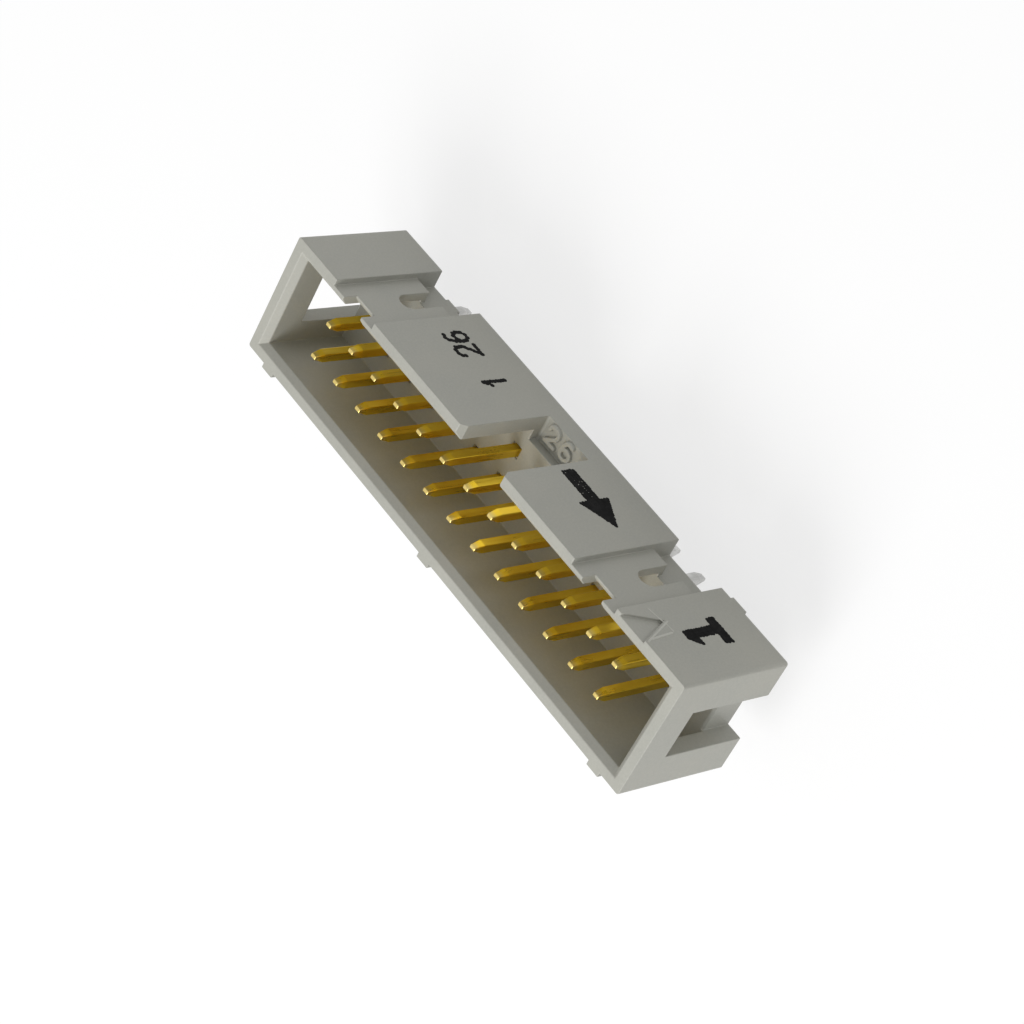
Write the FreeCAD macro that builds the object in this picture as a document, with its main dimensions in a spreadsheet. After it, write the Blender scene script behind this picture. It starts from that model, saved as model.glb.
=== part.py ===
import FreeCAD, Part
import os
import Sketcher

# Shrouded box header for flat-cable sockets: two rows of square pins pressed into
# a moulded housing whose one long wall is keyed. Millimetres. +Z points out of the
# mouth, Z = 0 is the board face, X runs along the rows, and the origin lies in the
# middle of the pin grid. The keyed wall faces -Y; pin 1 stands at the -X end by it.

SIZES = [
    ("columns", 13, "pin columns along X"),
    ("pitch", 2.54, "pin pitch, both ways"),
    ("end_margin", 4.96, "last pin column to the outer end face"),
    ("body_width", 8.9, "outer width across the rows"),
    ("body_height", 8.95, "underside to mouth"),
    ("base_thick", 2.35, "underside to cavity floor"),
    ("side_wall", 1.1, "long walls"),
    ("end_wall", 1.15, "end walls"),
    ("corner_round", 0.2, "upright outer corners"),
    ("lead_in", 0.42, "bevel inside the mouth"),
    ("key_width", 4.1, "key slot in the keyed wall"),
    ("key_ledge", 1.6, "underside to the ledge in the key slot"),
    ("key_reach", 0.75, "key slot past the inner face of the wall"),
    ("key_flare_across", 0.3, "flare at the mouth of the key slot"),
    ("key_flare_down", 0.5, "height of that flare"),
    ("key_round", 0.15, "rounding of the slot's lower corners"),
    ("recess_width", 4.2, "shallow recess beside each end block"),
    ("recess_depth", 0.45, "depth of the shallow recess"),
    ("recess_shift", 1.1, "both recesses sit this far towards +X"),
    ("latch_width", 1.4, "round-ended latch window"),
    ("latch_top", 4.9, "underside to the top of the latch window"),
    ("latch_foot", 1.95, "height of the wide foot of the latch window"),
    ("latch_reach", 0.2, "latch window past the inner face of the wall"),
    ("notch_width", 1.95, "notch in the rim above a recess"),
    ("notch_depth", 1.1, "depth of that notch"),
    ("notch_bevel", 0.5, "bevel inside the notch"),
    ("end_slot_width", 3.6, "slot in each end wall"),
    ("end_slot_top", 6.55, "underside to the top of the end slot"),
    ("end_slot_reach", 0.05, "end slot past the inner face of the end wall"),
    ("sill_bevel", 0.15, "bevel on the cavity floor's edge in an end slot"),
    ("mark_width", 2.3, "pin 1 triangle at the mouth"),
    ("mark_height", 2.6, "mouth to the triangle's point"),
    ("mark_depth", 0.2, "depth of the triangle"),
    ("foot_height", 0.25, "stand-off feet under the body"),
    ("foot_width", 1.3, "foot along X"),
    ("foot_length", 2.0, "foot in from the outer face"),
    ("nub_width", 1.1, "nub on the rear wall"),
    ("nub_proud", 0.33, "how far a nub stands out"),
    ("nub_height", 3.0, "nub down from the mouth"),
    ("nub_inset", 2.35, "outer nubs in from the end faces"),
    ("pin_size", 0.635, "square pin"),
    ("pin_recess", 0.38, "pin tips below the mouth"),
    ("tail_length", 3.35, "tail ends below the board face"),
    ("taper_length", 0.7, "tapered length at each pin end"),
    ("tip_along", 0.46, "flat pin end along X"),
    ("tip_across", 0.24, "flat pin end along Y"),
    ("barb_width", 0.9, "press-fit barb along X"),
    ("barb_start", 0.35, "underside to the barb"),
    ("barb_length", 1.0, "barb up to its shoulder"),
    ("barb_taper", 0.3, "length of the shoulder's slope"),
    ("relief_gap", 0.1, "relief round each pin in the cavity floor"),
    ("relief_depth", 0.12, "depth of that relief"),
    ("overcut", 0.5, "how far an open cut runs past the solid"),
]

doc = FreeCAD.newDocument("box_header")
sheet = doc.addObject("Spreadsheet::Sheet", "Sizes")
for row, (alias, number, note) in enumerate(SIZES, start=1):
    sheet.set("A%d" % row, note)
    sheet.set("B%d" % row, str(number))
    sheet.setAlias("B%d" % row, alias)
doc.recompute()

# Levels and half sizes that several features share, as formulas of the sheet.
HALF_SPAN = "((Sizes.columns - 1) * Sizes.pitch / 2)"
HALF_LENGTH = "(%s + Sizes.end_margin)" % HALF_SPAN
HALF_WIDTH = "(Sizes.body_width / 2)"
HALF_PITCH = "(Sizes.pitch / 2)"
INNER_X = "(%s - Sizes.end_wall)" % HALF_LENGTH
INNER_Y = "(%s - Sizes.side_wall)" % HALF_WIDTH
UNDERSIDE = "Sizes.foot_height"
BELOW = "(0 - Sizes.overcut)"
FLOOR = "(Sizes.foot_height + Sizes.base_thick)"
MOUTH = "(Sizes.foot_height + Sizes.body_height)"
ABOVE = "(%s + Sizes.overcut)" % MOUTH
# Middles of the two recesses: over the second column from each end, moved to +X.
RECESS_MIDDLES = [
    "(Sizes.recess_shift - %s + Sizes.pitch)" % HALF_SPAN,
    "(Sizes.recess_shift + %s - Sizes.pitch)" % HALF_SPAN,
]


def number_of(formula):
    """Number that a formula comes to with the present sizes."""
    return float(sheet.evalExpression(formula))


def near(first, second):
    return abs(first - second) < 1e-4


def rectangle(low_x, low_y, high_x, high_y):
    """Corner formulas of a rectangle, anticlockwise."""
    return [(low_x, low_y), (high_x, low_y), (high_x, high_y), (low_x, high_y)]


def centred(middle, width, low, high):
    """Corner formulas of a rectangle of some width about a middle line."""
    return rectangle("%s - %s / 2" % (middle, width), low, "%s + %s / 2" % (middle, width), high)


def bind(sketch, kind, line, end, formula):
    """Hold one coordinate of a sketch point to a formula."""
    index = sketch.addConstraint(Sketcher.Constraint(kind, -1, 1, line, end, number_of(formula)))
    sketch.setExpression("Constraints[%d]" % index, formula)


def draw(sketch, points, round_side=None):
    """Closed outline through points given as pairs of formulas. The side numbered
    round_side is a half circle that bulges upwards, in an anticlockwise outline."""
    places = [FreeCAD.Vector(number_of(x), number_of(y), 0) for x, y in points]
    first = sketch.GeometryCount
    for side, start in enumerate(places):
        finish = places[(side + 1) % len(places)]
        if side == round_side:
            crown = (start + finish) / 2 + FreeCAD.Vector(0, (start - finish).Length / 2, 0)
            sketch.addGeometry(Part.Arc(start, crown, finish), False)
        else:
            sketch.addGeometry(Part.LineSegment(start, finish), False)
    for side, (x, y) in enumerate(points):
        following = first + (side + 1) % len(points)
        sketch.addConstraint(Sketcher.Constraint("Coincident", first + side, 2, following, 1))
        bind(sketch, "DistanceX", first + side, 1, x)
        bind(sketch, "DistanceY", first + side, 1, y)
    if round_side is not None:
        bind(sketch, "DistanceY", first + round_side, 3, points[round_side][1])


def new_sketch(body, name, plane_role, lift, outlines, round_side=None):
    """Sketch on one of the body's origin planes, lifted along that plane's normal."""
    sketch = body.newObject("Sketcher::SketchObject", name)
    plane = [item for item in body.Origin.OriginFeatures if item.Role == plane_role][0]
    sketch.AttachmentSupport = [(plane, "")]
    sketch.MapMode = "FlatFace"
    sketch.setExpression("AttachmentOffset.Base.z", lift)
    for points in outlines:
        draw(sketch, points, round_side)
    return sketch


def extrude(body, kind, name, sketch, length, reverse=False, both_ways=False):
    """Pad or Pocket of a sketch, which has to add or take away some volume."""
    before = body.Shape.Volume if body.Tip else 0.0
    item = body.newObject("PartDesign::" + kind, name)
    item.Profile = sketch
    item.setExpression("Length", length)
    item.Reversed = reverse
    item.Midplane = both_ways
    doc.recompute()
    gain = body.Shape.Volume - before
    if (gain if kind == "Pad" else -gain) < 1e-4:
        raise RuntimeError("%s changes nothing" % name)
    return item


def dress(body, kind, name, base, test, size):
    """Fillet or Chamfer of the base feature's edges whose box passes a test."""
    names = ["Edge%d" % (index + 1) for index, edge in enumerate(base.Shape.Edges)
             if test(edge.BoundBox)]
    if not names:
        raise RuntimeError("%s finds no edge" % name)
    item = body.newObject("PartDesign::" + kind, name)
    item.Base = (base, names)
    item.setExpression("Radius" if kind == "Fillet" else "Size", size)
    doc.recompute()
    return item


def add_block_and_cavity(body):
    """Outer block with rounded edges, and the cavity with its bevelled mouth."""
    outer = rectangle("-" + HALF_LENGTH, "-" + HALF_WIDTH, HALF_LENGTH, HALF_WIDTH)
    sketch = new_sketch(body, "block_outline", "XY_Plane", UNDERSIDE, [outer])
    block = extrude(body, "Pad", "block", sketch, "Sizes.body_height")
    dress(body, "Fillet", "upright_corners", block,
          lambda box: box.ZLength > box.XLength + box.YLength, "Sizes.corner_round")

    inner = rectangle("-" + INNER_X, "-" + INNER_Y, INNER_X, INNER_Y)
    sketch = new_sketch(body, "cavity_outline", "XY_Plane", MOUTH, [inner])
    cavity = extrude(body, "Pocket", "cavity", sketch, "Sizes.body_height - Sizes.base_thick")
    mouth = number_of(MOUTH)
    inner_x = number_of(INNER_X) + 1e-4
    inner_y = number_of(INNER_Y) + 1e-4
    dress(body, "Chamfer", "mouth_lead_in", cavity,
          lambda box: near(box.ZMin, mouth) and max(box.XMax, -box.XMin) < inner_x
          and max(box.YMax, -box.YMin) < inner_y, "Sizes.lead_in")


def add_feet_and_nubs(body):
    """Stand-off feet below the outer columns, the one under the +X latch window half a
    pitch further in, and low nubs on the rear wall."""
    inside = "(%s - Sizes.foot_length)" % HALF_WIDTH
    feet = [centred(middle, "Sizes.foot_width", "-" + HALF_WIDTH, "-" + inside)
            for middle in ("-" + HALF_SPAN, "(%s - %s)" % (HALF_SPAN, HALF_PITCH))]
    feet += [centred(middle, "Sizes.foot_width", inside, HALF_WIDTH)
             for middle in ("-" + HALF_SPAN, HALF_SPAN)]
    sketch = new_sketch(body, "feet_outline", "XY_Plane", UNDERSIDE, feet)
    extrude(body, "Pad", "feet", sketch, "Sizes.foot_height", reverse=True)

    outer_nub = "(%s - Sizes.nub_inset)" % HALF_LENGTH
    low = "%s - Sizes.nub_height" % MOUTH
    nubs = [centred(middle, "Sizes.nub_width", low, MOUTH) for middle in ("-" + outer_nub, "0", outer_nub)]
    sketch = new_sketch(body, "nub_outline", "XZ_Plane", "-" + HALF_WIDTH, nubs)
    extrude(body, "Pad", "nubs", sketch, "Sizes.nub_proud", reverse=True)


def add_key_slot(body):
    """Polarising slot: flared at the mouth, cut past the cavity face, with a ledge."""
    half = "(Sizes.key_width / 2)"
    flared = "(%s + Sizes.key_flare_across * (1 + Sizes.overcut / Sizes.key_flare_down))" % half
    ledge = "(%s + Sizes.key_ledge)" % UNDERSIDE
    flare_foot = "%s - Sizes.key_flare_down" % MOUTH
    points = [("-" + half, ledge), (half, ledge), (half, flare_foot), (flared, ABOVE),
              ("-" + flared, ABOVE), ("-" + half, flare_foot)]
    sketch = new_sketch(body, "key_outline", "XZ_Plane", HALF_WIDTH, [points])
    slot = extrude(body, "Pocket", "key_slot", sketch, "Sizes.side_wall + Sizes.key_reach")
    level = number_of(ledge)
    side = number_of(half)
    dress(body, "Fillet", "key_slot_corners", slot,
          lambda box: near(box.ZMin, level) and near(box.ZMax, level)
          and near(max(box.XMax, -box.XMin), side) and box.XLength < 1e-4, "Sizes.key_round")


def add_recesses(body):
    """Two shallow recesses in the keyed wall, each with a latch window and a rim notch."""
    recesses = [centred(middle, "Sizes.recess_width", BELOW, ABOVE) for middle in RECESS_MIDDLES]
    sketch = new_sketch(body, "recess_outline", "XZ_Plane", HALF_WIDTH, recesses)
    extrude(body, "Pocket", "recesses", sketch, "Sizes.recess_depth")

    foot_top = "%s + Sizes.latch_foot" % UNDERSIDE
    spring = "%s + Sizes.latch_top - Sizes.latch_width / 2" % UNDERSIDE
    windows = []
    for middle in RECESS_MIDDLES:
        left, right = ["%s %s Sizes.recess_width / 2" % (middle, sign) for sign in "-+"]
        left_side, right_side = ["%s %s Sizes.latch_width / 2" % (middle, sign) for sign in "-+"]
        windows.append([(left, BELOW), (right, BELOW), (right, foot_top), (right_side, foot_top),
                        (right_side, spring), (left_side, spring), (left_side, foot_top),
                        (left, foot_top)])
    sketch = new_sketch(body, "latch_outline", "XZ_Plane", HALF_WIDTH, windows, round_side=4)
    extrude(body, "Pocket", "latch_windows", sketch, "Sizes.side_wall + Sizes.latch_reach")

    notch_floor = "(%s - Sizes.notch_depth)" % MOUTH
    notches = [centred(middle, "Sizes.notch_width", notch_floor, ABOVE) for middle in RECESS_MIDDLES]
    sketch = new_sketch(body, "notch_outline", "XZ_Plane", HALF_WIDTH, notches)
    cut = extrude(body, "Pocket", "rim_notches", sketch, "Sizes.side_wall")
    level = number_of(notch_floor)
    inner_y = number_of(INNER_Y)
    dress(body, "Chamfer", "notch_bevels", cut,
          lambda box: near(box.ZMin, level) and near(box.ZMax, level) and near(box.YMin, -inner_y)
          and near(box.YMax, -inner_y), "Sizes.notch_bevel")


def add_end_slots(body):
    """Slot in each end wall: a window above the cavity floor, a recess below it, and a
    bevelled sill between the two."""
    sketch = new_sketch(body, "end_slot_outline", "YZ_Plane", HALF_LENGTH, [
        centred("0", "Sizes.end_slot_width", BELOW, "%s + Sizes.end_slot_top" % UNDERSIDE)])
    slot = extrude(body, "Pocket", "end_slot", sketch, "Sizes.end_wall + Sizes.end_slot_reach")
    other = body.newObject("PartDesign::Mirrored", "other_end_slot")
    other.Originals = [slot]
    other.MirrorPlane = ([item for item in body.Origin.OriginFeatures if item.Role == "YZ_Plane"][0], [""])
    body.Tip = other
    doc.recompute()
    level = number_of(FLOOR)
    deep_x = number_of("%s - Sizes.end_slot_reach" % INNER_X)
    dress(body, "Chamfer", "end_slot_sills", other,
          lambda box: near(box.ZMin, level) and near(box.ZMax, level) and box.XLength < 1e-4
          and near(max(box.XMax, -box.XMin), deep_x), "Sizes.sill_bevel")


def add_pin_mark(body):
    """Sunk triangle by pin 1, its base on the mouth and its point towards the board."""
    middle = "-" + HALF_SPAN
    points = [(middle, "%s - Sizes.mark_height" % MOUTH), ("%s + Sizes.mark_width / 2" % middle, MOUTH),
              ("%s - Sizes.mark_width / 2" % middle, MOUTH)]
    sketch = new_sketch(body, "mark_outline", "XZ_Plane", HALF_WIDTH, [points])
    extrude(body, "Pocket", "pin_mark", sketch, "Sizes.mark_depth")


def add_pin_holes(body):
    """Square hole, floor relief and barb slot for the first two pins, then all columns."""
    rows = ("-" + HALF_PITCH, HALF_PITCH)
    first_column = "-" + HALF_SPAN

    def squares(width, depth):
        return [rectangle("%s - %s / 2" % (first_column, width), "%s - %s / 2" % (row, depth),
                          "%s + %s / 2" % (first_column, width), "%s + %s / 2" % (row, depth))
                for row in rows]

    relief_size = "(Sizes.pin_size + 2 * Sizes.relief_gap)"
    sketch = new_sketch(body, "relief_outline", "XY_Plane", FLOOR, squares(relief_size, relief_size))
    relief = extrude(body, "Pocket", "pin_relief", sketch, "Sizes.relief_depth")
    sketch = new_sketch(body, "hole_outline", "XY_Plane", FLOOR, squares("Sizes.pin_size", "Sizes.pin_size"))
    hole = extrude(body, "Pocket", "pin_hole", sketch, "Sizes.base_thick")
    sketch = new_sketch(body, "barb_slot_outline", "XY_Plane", UNDERSIDE,
                        squares("Sizes.barb_width", "Sizes.pin_size"))
    slot = extrude(body, "Pocket", "barb_slot", sketch,
                   "Sizes.barb_start + Sizes.barb_length + Sizes.barb_taper", reverse=True)

    columns = body.newObject("PartDesign::LinearPattern", "pin_columns")
    columns.Originals = [relief, hole, slot]
    columns.Direction = (sketch, ["H_Axis"])
    columns.setExpression("Length", "2 * " + HALF_SPAN)
    columns.setExpression("Occurrences", "Sizes.columns")
    body.Tip = columns
    doc.recompute()


def make_housing():
    body = doc.addObject("PartDesign::Body", "housing")
    body.Label = "housing"
    add_block_and_cavity(body)
    add_feet_and_nubs(body)
    add_key_slot(body)
    add_recesses(body)
    add_end_slots(body)
    add_pin_mark(body)
    add_pin_holes(body)
    return body


def make_pin(name, column, row_side):
    """Stamped square pin: flat blank with barbs and pointed ends, then both ends coined."""
    body = doc.addObject("PartDesign::Body", name)
    body.Label = name
    top = "(%s - Sizes.pin_recess)" % MOUTH
    bottom = "(0 - Sizes.tail_length)"
    half, tip, barb = ["(Sizes.%s / 2)" % alias for alias in ("pin_size", "tip_along", "barb_width")]
    barb_low = "(%s + Sizes.barb_start)" % UNDERSIDE
    barb_high = "(%s + Sizes.barb_length)" % barb_low
    side = [(tip, bottom), (half, "%s + Sizes.taper_length" % bottom), (half, barb_low),
            (barb, barb_low), (barb, barb_high), (half, "%s + Sizes.barb_taper" % barb_high),
            (half, "%s - Sizes.taper_length" % top), (tip, top)]
    blank = side + [("-" + x, z) for x, z in reversed(side)]
    sketch = new_sketch(body, name + "_blank_outline", "XZ_Plane", "0", [blank])
    extrude(body, "Pad", name + "_blank", sketch, "Sizes.pin_size", both_ways=True)

    flat = "(Sizes.tip_across / 2)"
    bevels = []
    for end, inward, outward in ((top, "-", "+"), (bottom, "+", "-")):
        shoulder = "%s %s Sizes.taper_length" % (end, inward)
        beyond = "%s %s Sizes.overcut" % (end, outward)
        for sign in ("", "-"):
            bevels.append([(sign + half, shoulder), (sign + flat, end), (sign + flat, beyond),
                           (sign + "(%s + Sizes.overcut)" % half, beyond),
                           (sign + "(%s + Sizes.overcut)" % half, shoulder)])
    sketch = new_sketch(body, name + "_coin_outline", "YZ_Plane", "0", bevels)
    extrude(body, "Pocket", name + "_coined", sketch, "Sizes.barb_width", both_ways=True)
    body.setExpression("Placement.Base.x", "%d * Sizes.pitch - %s" % (column, HALF_SPAN))
    body.setExpression("Placement.Base.y", "%d * %s" % (row_side, HALF_PITCH))
    return body


def make_pins():
    """Odd numbers stand in the keyed row, even numbers behind them."""
    pins = []
    for column in range(int(number_of("Sizes.columns"))):
        pins.append(make_pin("pin_%02d" % (2 * column + 1), column, -1))
        pins.append(make_pin("pin_%02d" % (2 * column + 2), column, 1))
    return pins


def check_and_write(parts):
    """Stop at any failed object or bad solid, then write one file a sub-part."""
    doc.recompute()
    for item in doc.Objects:
        if "Invalid" in item.State or "Error" in item.State:
            raise RuntimeError("%s failed: %s" % (item.Name, item.State))
    for part in parts:
        if part.Shape.isNull() or not part.Shape.isValid() or len(part.Shape.Solids) != 1:
            raise RuntimeError("%s has a bad shape" % part.Label)
    os.makedirs("parts", exist_ok=True)
    for part in parts:
        part.Shape.exportStep("parts/%s.step" % part.Label)
        print(part.Label, round(part.Shape.Volume, 4))


check_and_write([make_housing()] + make_pins())
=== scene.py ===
import math

import bpy
import numpy as np
from mathutils import Matrix, Vector


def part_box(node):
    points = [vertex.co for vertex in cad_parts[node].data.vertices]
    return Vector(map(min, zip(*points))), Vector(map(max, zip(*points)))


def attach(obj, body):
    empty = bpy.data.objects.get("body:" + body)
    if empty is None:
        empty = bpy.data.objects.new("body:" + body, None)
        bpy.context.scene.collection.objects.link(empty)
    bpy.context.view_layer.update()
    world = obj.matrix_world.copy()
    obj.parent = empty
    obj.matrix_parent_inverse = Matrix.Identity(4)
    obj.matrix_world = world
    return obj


# Looks of a 26-way shrouded header: pale grey moulding, gold-plated square contacts
# with tinned tails, printed plain numbers and a raised number on the key-slot ledge.
# Metres throughout; MM turns the workshop's millimetres into them.
MM = 0.001
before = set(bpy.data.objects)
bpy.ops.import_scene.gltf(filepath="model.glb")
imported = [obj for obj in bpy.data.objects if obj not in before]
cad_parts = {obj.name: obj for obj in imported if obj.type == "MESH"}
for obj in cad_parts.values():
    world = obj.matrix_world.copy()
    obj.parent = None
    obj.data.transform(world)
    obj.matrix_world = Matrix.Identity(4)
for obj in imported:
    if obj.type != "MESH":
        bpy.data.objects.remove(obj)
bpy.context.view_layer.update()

# Places on the part
KEYED_WALL_Y = -4.45 * MM
KEY_LEDGE_Z = 1.85 * MM
TAIL_TIP_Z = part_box("pin_01")[0].z
TIN_ENDS_Z = 1.0 * MM
GOLD_STARTS_Z = 1.3 * MM
# Above these two heights the gold turns paler: a painted highlight on the pin tips.
TIP_HIGHLIGHT_STARTS_Z = 8.4 * MM
TIP_HIGHLIGHT_FULL_Z = 8.75 * MM

# Screen colours
GREY_DEEP = (0.600, 0.602, 0.570)
GREY_LIGHT = (0.630, 0.628, 0.592)
GREY_SPECK = (0.68, 0.675, 0.64)
GOLD_DEEP = (0.94, 0.78, 0.20)
GOLD_LIGHT = (0.97, 0.83, 0.26)
# Pale gold of the painted highlight on the pin tips
GOLD_TIP_HIGHLIGHT = (0.80, 0.73, 0.50)
TIN_DEEP = (0.74, 0.74, 0.73)
TIN_LIGHT = (0.83, 0.83, 0.82)
INK_FRESH = (0.01, 0.01, 0.01)
INK_WORN = (0.08, 0.08, 0.075)
FLOOR_DEEP = (0.925, 0.925, 0.925)
FLOOR_LIGHT = (0.935, 0.935, 0.935)
FLOOR_WHITE_SHARE = 0.72
PLAIN_WHITE = (1.0, 1.0, 1.0, 1.0)

# Most values of a noise lie between these two.
NOISE_LOW = 0.3
NOISE_HIGH = 0.7

# Rounding of the moulding's and the contacts' edges
EDGE_RADIUS = 0.05 * MM
EDGE_SEGMENTS = 3
SHARP_ANGLE = math.radians(35.0)
FLAT_ANGLE = math.radians(0.6)
SAME_POINT = 1e-6

# Printed drops and raised signs. The drops' wander is in millimetres, as their lines are.
INK_RISE = 0.01 * MM
DROP_WANDER = 0.016
RNG = np.random.default_rng(26)
FLAT_SHARE = 0.5
LEAST_SLOPE = 1e-9
LEAST_RUN = 1e-18


# Finishes

def linear(*channels):
    """Screen colour 0..1 to the linear values that a shader takes."""
    return tuple(c / 12.92 if c <= 0.04045 else ((c + 0.055) / 1.055) ** 2.4 for c in channels) + (1.0,)


class Finish:
    """One material and short ways to wire its nodes."""

    def __init__(self, name):
        self.material = bpy.data.materials.new(name)
        self.material.use_nodes = True
        self.nodes = self.material.node_tree.nodes
        self.links = self.material.node_tree.links
        self.shader = self.nodes["Principled BSDF"]
        self.place = self.nodes.new("ShaderNodeTexCoord").outputs["Object"]

    def wire(self, source, target):
        self.links.new(source, target)

    def stretched(self, scale):
        """Object coordinates multiplied by a scale along each axis."""
        node = self.nodes.new("ShaderNodeMapping")
        node.inputs["Scale"].default_value = scale
        self.wire(self.place, node.inputs["Vector"])
        return node.outputs["Vector"]

    def height_above_board(self):
        """Object coordinate Z."""
        node = self.nodes.new("ShaderNodeSeparateXYZ")
        self.wire(self.place, node.inputs["Vector"])
        return node.outputs["Z"]

    def noise(self, scale, detail, place=None):
        """Smooth noise with about scale swells a metre."""
        node = self.nodes.new("ShaderNodeTexNoise")
        node.inputs["Scale"].default_value = scale
        node.inputs["Detail"].default_value = detail
        self.wire(place or self.place, node.inputs["Vector"])
        return node.outputs["Fac"]

    def ranged(self, value, low, high, out_low, out_high):
        """Straight-line map of a value from low..high to out_low..out_high."""
        node = self.nodes.new("ShaderNodeMapRange")
        sockets = ("From Min", "From Max", "To Min", "To Max")
        for socket, number in zip(sockets, (low, high, out_low, out_high)):
            node.inputs[socket].default_value = number
        self.wire(value, node.inputs["Value"])
        return node.outputs["Result"]

    def spread(self, noise, out_low, out_high):
        """The same for a noise, over the span where most of its values lie."""
        return self.ranged(noise, NOISE_LOW, NOISE_HIGH, out_low, out_high)

    def blend(self, share, first, second):
        """Colour between first and second; either may be a colour or a socket."""
        node = self.nodes.new("ShaderNodeMix")
        node.data_type = "RGBA"
        self.wire(share, node.inputs["Factor"])
        for socket, colour in (("A", first), ("B", second)):
            target = [s for s in node.inputs if s.name == socket and s.type == "RGBA"][0]
            if isinstance(colour, tuple):
                target.default_value = colour
            else:
                self.wire(colour, target)
        return [s for s in node.outputs if s.type == "RGBA"][0]

    def bump(self, height, distance, strength):
        """Surface direction over a relief of height 0..1 times distance."""
        node = self.nodes.new("ShaderNodeBump")
        node.inputs["Distance"].default_value = distance
        node.inputs["Strength"].default_value = strength
        self.wire(height, node.inputs["Height"])
        return node.outputs["Normal"]


def moulded_grey(name, painted_highlight_lift):
    """Glass-filled polyester from an eroded mould: a slow cloud and a fine speckle of
    the grey, roughness that follows the cloud, and a grain a few micrometres deep.
    The lift raises the grey as a painted highlight, for marks that the lamp leaves in shade."""
    f = Finish(name)
    cloud = f.noise(scale=230.0, detail=3.0)
    speckle = f.noise(scale=7000.0, detail=2.0)
    grain = f.noise(scale=11000.0, detail=3.0)
    deep, light, speck = (linear(*(channel + painted_highlight_lift for channel in colour))
                          for colour in (GREY_DEEP, GREY_LIGHT, GREY_SPECK))
    tone = f.blend(f.spread(cloud, 0.0, 1.0), deep, light)
    tone = f.blend(f.ranged(speckle, 0.35, 0.75, 0.0, 0.35), tone, speck)
    f.wire(tone, f.shader.inputs["Base Color"])
    f.wire(f.spread(cloud, 0.40, 0.50), f.shader.inputs["Roughness"])
    f.wire(f.bump(grain, distance=3e-6, strength=0.5), f.shader.inputs["Normal"])
    return f.material


def plated_contact():
    """Gold over the mating length, paler towards the tip as a painted highlight, and tin over
    the tail, with faint drawing marks that run along the pin: noise stretched 15 times in Z
    drives tone, roughness and a bump."""
    f = Finish("plated_contact")
    height = f.height_above_board()
    gold_share = f.ranged(height, TIN_ENDS_Z, GOLD_STARTS_Z, 0.0, 1.0)
    marks = f.noise(scale=1.0, detail=2.0, place=f.stretched((4500.0, 4500.0, 300.0)))
    mottle = f.noise(scale=1600.0, detail=3.0)
    # Painted highlight: the gold pales towards the tip.
    tip_highlight_share = f.ranged(height, TIP_HIGHLIGHT_STARTS_Z, TIP_HIGHLIGHT_FULL_Z, 0.0, 0.8)
    gold = f.blend(f.spread(marks, 0.0, 1.0), linear(*GOLD_DEEP), linear(*GOLD_LIGHT))
    gold = f.blend(tip_highlight_share, gold, linear(*GOLD_TIP_HIGHLIGHT))
    tin = f.blend(f.ranged(mottle, 0.35, 0.65, 0.0, 1.0), linear(*TIN_DEEP), linear(*TIN_LIGHT))
    f.wire(f.blend(gold_share, tin, gold), f.shader.inputs["Base Color"])
    f.shader.inputs["Metallic"].default_value = 1.0
    f.wire(f.spread(marks, 0.25, 0.41), f.shader.inputs["Roughness"])
    f.wire(f.bump(marks, distance=1.5e-6, strength=0.18), f.shader.inputs["Normal"])
    return f.material


def print_black():
    """Ink drops: near black, a little worn where the slow noise is high."""
    f = Finish("print_black")
    wear = f.noise(scale=2600.0, detail=3.0)
    tone = f.blend(f.ranged(wear, 0.45, 0.8, 0.0, 0.4), linear(*INK_FRESH), linear(*INK_WORN))
    f.wire(tone, f.shader.inputs["Base Color"])
    f.wire(f.spread(wear, 0.5, 0.7), f.shader.inputs["Roughness"])
    f.shader.inputs["Specular IOR Level"].default_value = 0.1
    return f.material


def seen_directly(nodes, links):
    """1 for rays from the camera, from a mirror-like surface or through a clear one."""
    path = nodes.new("ShaderNodeLightPath")
    value = path.outputs["Is Camera Ray"]
    for ray in ("Is Glossy Ray", "Is Transmission Ray"):
        either = nodes.new("ShaderNodeMath")
        either.operation = "MAXIMUM"
        links.new(value, either.inputs[0])
        links.new(path.outputs[ray], either.inputs[1])
        value = either.outputs["Value"]
    return value


def plain_floor():
    """Pale studio floor with a barely seen mottle. Where it is seen directly it is
    mostly plain white, so that the part's shadow stays light."""
    f = Finish("plain_floor")
    tone = f.blend(f.noise(scale=60.0, detail=2.0), linear(*FLOOR_DEEP), linear(*FLOOR_LIGHT))
    f.wire(tone, f.shader.inputs["Base Color"])
    f.shader.inputs["Roughness"].default_value = 0.9
    f.shader.inputs["Specular IOR Level"].default_value = 0.1
    white = f.nodes.new("ShaderNodeEmission")
    mix = f.nodes.new("ShaderNodeMixShader")
    white_share = f.ranged(seen_directly(f.nodes, f.links), 0.0, 1.0, 0.0, FLOOR_WHITE_SHARE)
    f.wire(white_share, mix.inputs["Fac"])
    f.wire(f.shader.outputs["BSDF"], mix.inputs[1])
    f.wire(white.outputs["Emission"], mix.inputs[2])
    f.wire(mix.outputs["Shader"], f.nodes["Material Output"].inputs["Surface"])
    return f.material


# Rounded edges of the CAD nodes

def soften_edges(node):
    """Join the node's loose triangles, merge flat ones, then round every sharp edge
    to an arc of EDGE_RADIUS; flats and the outer size stay as they are."""
    join = node.modifiers.new("join_triangles", "WELD")
    join.merge_threshold = SAME_POINT
    flats = node.modifiers.new("merge_flats", "DECIMATE")
    flats.decimate_type = "DISSOLVE"
    flats.angle_limit = FLAT_ANGLE
    edge = node.modifiers.new("rounded_edges", "BEVEL")
    edge.width = EDGE_RADIUS
    edge.segments = EDGE_SEGMENTS
    edge.limit_method = "ANGLE"
    edge.angle_limit = SHARP_ANGLE
    edge.use_clamp_overlap = False


# Printed and raised signs

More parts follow.
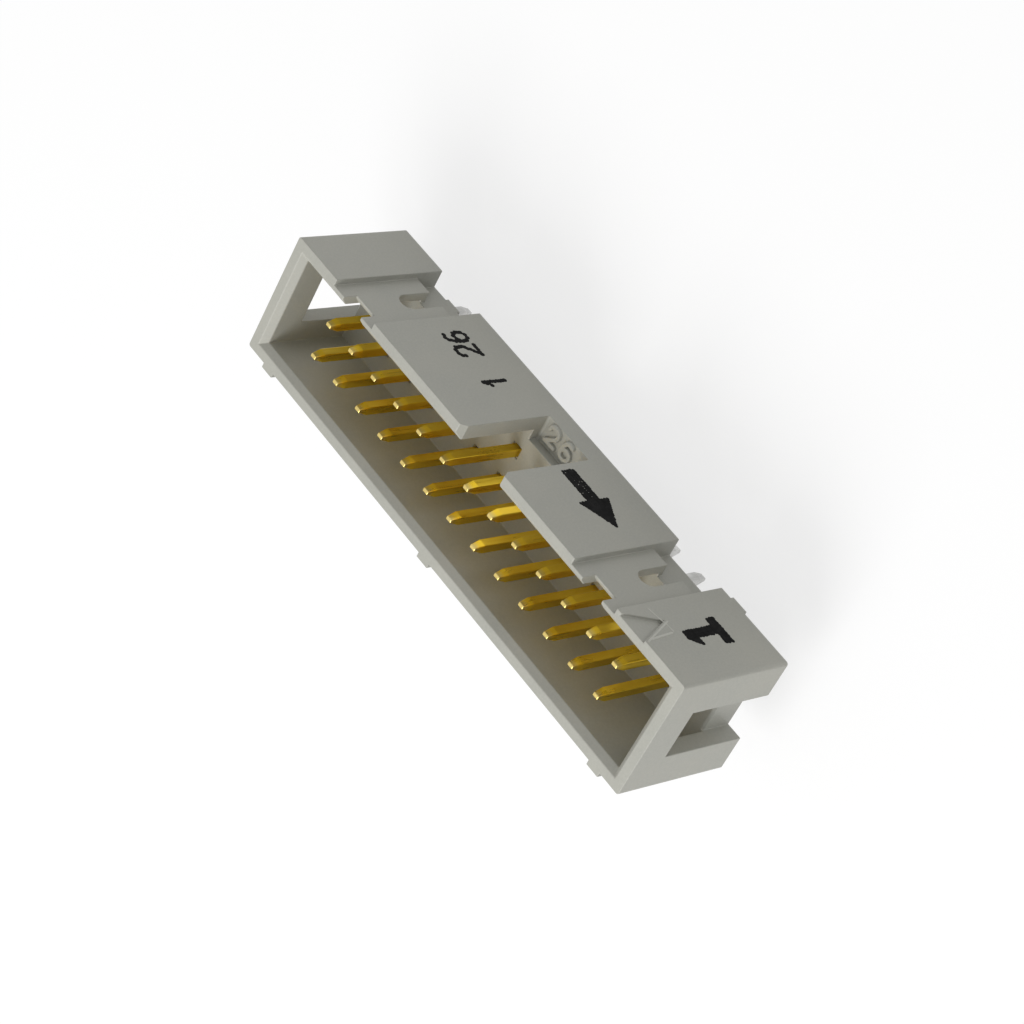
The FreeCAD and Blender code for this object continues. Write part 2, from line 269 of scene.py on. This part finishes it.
# Centre lines of the plain figures, in a cell one unit wide and one high.
FIGURES = {
    "1": [[(0.18, 0.76), (0.55, 1.0), (0.55, 0.0)]],
    "2": [[(0.02, 0.76), (0.10, 0.93), (0.32, 1.0), (0.66, 1.0), (0.92, 0.90),
           (0.98, 0.70), (0.86, 0.50), (0.40, 0.22), (0.0, 0.0), (1.0, 0.0)]],
    "6": [[(0.86, 0.95), (0.56, 1.0), (0.30, 0.92), (0.10, 0.68), (0.02, 0.36),
           (0.10, 0.12), (0.34, 0.0), (0.66, 0.0), (0.92, 0.14), (0.98, 0.34),
           (0.88, 0.50), (0.62, 0.58), (0.32, 0.54), (0.06, 0.38)]],
}


def runs_of(lines):
    """Straight runs (start u, start v, end u, end v) of several polylines."""
    return np.array([a + b for line in lines for a, b in zip(line[:-1], line[1:])], float)


def placed(figure, low_u, low_v, width, height):
    """Polylines of a figure, stretched to width x height from a low corner."""
    return [[(low_u + width * u, low_v + height * v) for u, v in line] for line in FIGURES[figure]]


def drops_along(lines, spacing):
    """Runs of no length, one a drop, every spacing along the polylines, each moved by
    a small random step as an inkjet's drops are."""
    drops = []
    for a in runs_of(lines):
        count = max(1, round(math.hypot(a[2] - a[0], a[3] - a[1]) / spacing))
        share = (np.arange(count + 1) / count)[:, None]
        drops.append(a[None, :2] * (1 - share) + a[None, 2:] * share)
    drops = np.concatenate(drops)
    drops = drops + RNG.normal(0.0, DROP_WANDER, drops.shape)
    return np.concatenate([drops, drops], axis=1)


def distance_to(runs, u, v):
    """Distance of each grid point from the nearest run: the point is dropped square
    onto the run, and the foot is held between the run's two ends."""
    start, step = runs[:, :2], runs[:, 2:] - runs[:, :2]
    du = u[..., None] - start[:, 0]
    dv = v[..., None] - start[:, 1]
    reach = np.maximum((step ** 2).sum(1), LEAST_RUN)
    share = np.clip((du * step[:, 0] + dv * step[:, 1]) / reach, 0.0, 1.0)
    return np.hypot(du - share * step[:, 0], dv - share * step[:, 1]).min(-1)


def raised_sign(name, runs, half_width, rise, sink, cell, to_frame, finish):
    """Closed sheet over all points nearer than half_width to a run. With d the distance
    and s = (1 - d / half_width) / (1 - FLAT_SHARE) held to 0..1, its top stands
    rise * sqrt(1 - (1 - s)^2) proud, and its underside lies sink below the face.
    Grid points beside the outline are first moved square onto it."""
    low = runs.reshape(-1, 2).min(0) - half_width - 2 * cell
    high = runs.reshape(-1, 2).max(0) + half_width + 2 * cell
    count_u, count_v = (np.ceil((high - low) / cell).astype(int) + 1).tolist()
    u, v = np.meshgrid(low[0] + cell * np.arange(count_u), low[1] + cell * np.arange(count_v),
                       indexing="ij")
    d = distance_to(runs, u, v)
    slope_u, slope_v = np.gradient(d, cell)
    steep = np.maximum(np.hypot(slope_u, slope_v), LEAST_SLOPE)
    centre = (d[:-1, :-1] + d[1:, :-1] + d[:-1, 1:] + d[1:, 1:]) / 4
    kept = np.zeros((count_u + 1, count_v + 1), bool)
    kept[1:-1, 1:-1] = centre < half_width

    # A grid point is on the outline where some, not all, of its four cells are kept.
    around = kept[:-1, :-1].astype(int) + kept[1:, :-1] + kept[:-1, 1:] + kept[1:, 1:]
    rim = (around > 0) & (around < 4)
    shift = np.where(rim, (half_width - d) / steep, 0.0)
    u = u + shift * slope_u / steep
    v = v + shift * slope_v / steep
    s = np.clip((1 - d / half_width) / (1 - FLAT_SHARE), 0.0, 1.0)
    top = np.where(rim, 0.0, rise * np.sqrt(1 - (1 - s) ** 2))

    # The kept cells are faces above and, turned over, below; the outline joins the two.
    index = np.arange(count_u * count_v).reshape(count_u, count_v)
    i, j = np.nonzero(kept[1:-1, 1:-1])
    corners = np.stack([index[i, j], index[i + 1, j], index[i + 1, j + 1], index[i, j + 1]], 1)
    under = index.size
    faces = [corners, corners[:, ::-1] + under]
    for di, dj, first, second in ((-1, 0, 3, 0), (1, 0, 1, 2), (0, -1, 0, 1), (0, 1, 2, 3)):
        edge = ~kept[1 + i + di, 1 + j + dj]
        a, b = corners[edge, first], corners[edge, second]
        faces.append(np.stack([b, a, a + under, b + under], 1))
    faces = np.concatenate(faces)
    points = np.concatenate([np.stack([u.ravel(), v.ravel(), top.ravel()], 1),
                             np.stack([u.ravel(), v.ravel(), np.full(u.size, -sink)], 1)])
    used, faces = np.unique(faces, return_inverse=True)

    mesh = bpy.data.meshes.new(name)
    mesh.from_pydata(to_frame(points[used]).tolist(), [], faces.reshape(-1, 4).tolist())
    mesh.materials.append(finish)
    piece = bpy.data.objects.new(name, mesh)
    bpy.context.scene.collection.objects.link(piece)
    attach(piece, "root")


def on_keyed_wall(p):
    """Sign coordinates (u, v, proud) to the keyed wall's outside: u along +X, v along
    +Z, proud along -Y."""
    return np.stack([p[:, 0], KEYED_WALL_Y - p[:, 2], p[:, 1]], 1)


def on_key_ledge(p):
    """The same on the ledge of the key slot, read from the mouth: u along -X, v along
    -Y, proud along +Z."""
    return np.stack([-p[:, 0], -p[:, 1], KEY_LEDGE_Z + p[:, 2]], 1)


def print_numbers(finish):
    """First and last contact numbers in single drops, a bold 1 by pin 1, and a bold
    arrow that points to it, with lines in millimetres on the keyed wall. The arrow's
    head is a fan of lines from its tip, and its shaft is five lines side by side. The
    bold 1 is drawn three times, each a step further along, and so is its foot."""
    small = placed("1", low_u=5.1, low_v=2.95, width=0.8, height=1.8)
    small += placed("2", low_u=8.0, low_v=2.95, width=0.9, height=1.75)
    small += placed("6", low_u=9.3, low_v=2.95, width=0.9, height=1.75)

    tip = (-7.6, 4.15)
    arrow = [[tip, (-5.4, 3.0 + 0.23 * k)] for k in range(11)]
    arrow += [[(-5.5, v), (-2.7, v)] for v in (3.7, 3.925, 4.15, 4.375, 4.6)]

    bold = []
    for step in (-0.24, 0.0, 0.24):
        bold += placed("1", low_u=-17.5 + step, low_v=3.2, width=1.6, height=2.7)
        bold += [[(-17.7, 3.2 + step), (-15.8, 3.2 + step)]]

    for name, lines, radius, spacing in (("print_numbers", small, 0.17, 0.23),
                                         ("print_arrow", arrow, 0.13, 0.19),
                                         ("print_pin_1", bold, 0.16, 0.22)):
        raised_sign(name, drops_along(lines, spacing) * MM, half_width=radius * MM, rise=INK_RISE,
                    sink=INK_RISE, cell=0.03 * MM, to_frame=on_keyed_wall, finish=finish)


def ledge_number(finish):
    """Raised 26 on the ledge of the key slot, as moulded."""
    lines = placed("2", low_u=-1.45, low_v=3.05, width=0.9, height=1.15)
    lines += placed("6", low_u=-0.05, low_v=3.05, width=0.9, height=1.15)
    raised_sign("ledge_number", runs_of(lines) * MM, half_width=0.17 * MM, rise=0.20 * MM,
                sink=0.02 * MM, cell=0.03 * MM, to_frame=on_key_ledge, finish=finish)


def insert_marks(finish):
    """Thin raised marks that the mould's insert leaves round the pin 1 triangle: a lip
    along one side of it, a line below its point and a ridge beside it."""
    for name, line, half_width, rise in (
            ("insert_lip", [(-16.52, 9.05), (-15.38, 6.48)], 0.07, 0.03),
            ("insert_line", [(-14.2, 7.03), (-15.1, 6.84), (-15.62, 6.68), (-16.15, 6.62)], 0.05, 0.02),
            ("insert_ridge", [(-16.24, 6.85), (-16.38, 8.63)], 0.08, 0.04)):
        raised_sign(name, runs_of([line]) * MM, half_width=half_width * MM, rise=rise * MM,
                    sink=0.01 * MM, cell=0.02 * MM, to_frame=on_keyed_wall, finish=finish)


# Floor, light, camera

def lay_floor(finish):
    """Square floor, three metres each way from the part, at the height of its tail tips."""
    half = 3.0
    mesh = bpy.data.meshes.new("studio_floor")
    corners = [(x, y, TAIL_TIP_Z) for x, y in ((-half, -half), (half, -half), (half, half), (-half, half))]
    mesh.from_pydata(corners, [], [(0, 1, 2, 3)])
    mesh.materials.append(finish)
    floor = bpy.data.objects.new("studio_floor", mesh)
    bpy.context.scene.collection.objects.link(floor)


def hang_lamp(name, direction, distance, size, level):
    """Square soft lamp that looks at the part; level is the share of a colour's written
    brightness that it alone gives to a face square to it."""
    light = bpy.data.lights.new(name, "AREA")
    light.shape = "SQUARE"
    light.size = size
    light.energy = level * (math.pi * distance) ** 2
    lamp = bpy.data.objects.new(name, light)
    away = Vector(direction).normalized()
    lamp.location = away * distance
    lamp.rotation_mode = "QUATERNION"
    lamp.rotation_quaternion = away.to_track_quat("Z", "Y")
    bpy.context.scene.collection.objects.link(lamp)


def surround(level):
    """Even room light, seen as white by the camera and in metal and glass."""
    world = bpy.data.worlds.new("studio_room")
    world.use_nodes = True
    nodes, links = world.node_tree.nodes, world.node_tree.links
    back = nodes["Background"]
    strength = nodes.new("ShaderNodeMapRange")
    strength.inputs["To Min"].default_value = level
    strength.inputs["To Max"].default_value = 1.0
    links.new(seen_directly(nodes, links), strength.inputs["Value"])
    back.inputs["Color"].default_value = PLAIN_WHITE
    links.new(strength.outputs["Result"], back.inputs["Strength"])
    bpy.context.scene.world = world


def set_camera():
    """Long lens above the keyed side, turned so that the mouth faces left."""
    place = Vector((-88.072, -99.036, 130.944)) * MM
    right = Vector((-0.568657, -0.408330, -0.714070))
    down = Vector((-0.670499, 0.732972, 0.114819))
    forward = Vector((0.476509, 0.544076, -0.690594))
    lens = bpy.data.cameras.new("photo_view")
    lens.sensor_width = 36.0
    lens.lens = 105.281
    lens.clip_start = 0.01
    camera = bpy.data.objects.new("photo_view", lens)
    turn = Matrix((right, -down, -forward)).transposed().to_4x4()
    camera.matrix_world = Matrix.Translation(place) @ turn
    bpy.context.scene.collection.objects.link(camera)
    bpy.context.scene.camera = camera


# The scene

housing_grey = moulded_grey("moulded_grey", painted_highlight_lift=0.0)
contact_plating = plated_contact()
ink = print_black()

for node_name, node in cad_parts.items():
    node.material_slots[0].material = housing_grey if node_name == "housing" else contact_plating
    soften_edges(node)

print_numbers(ink)
ledge_number(housing_grey)
# The insert marks take a paler grey: a painted highlight, as the lamp leaves them in shade.
insert_marks(moulded_grey("painted_highlight_grey", painted_highlight_lift=0.08))

lay_floor(plain_floor())
surround(level=0.60)
hang_lamp("key_lamp", direction=(-0.26, 0.57, 0.78), distance=0.40, size=0.24, level=0.86)
set_camera()
bpy.context.scene.view_settings.view_transform = "Standard"
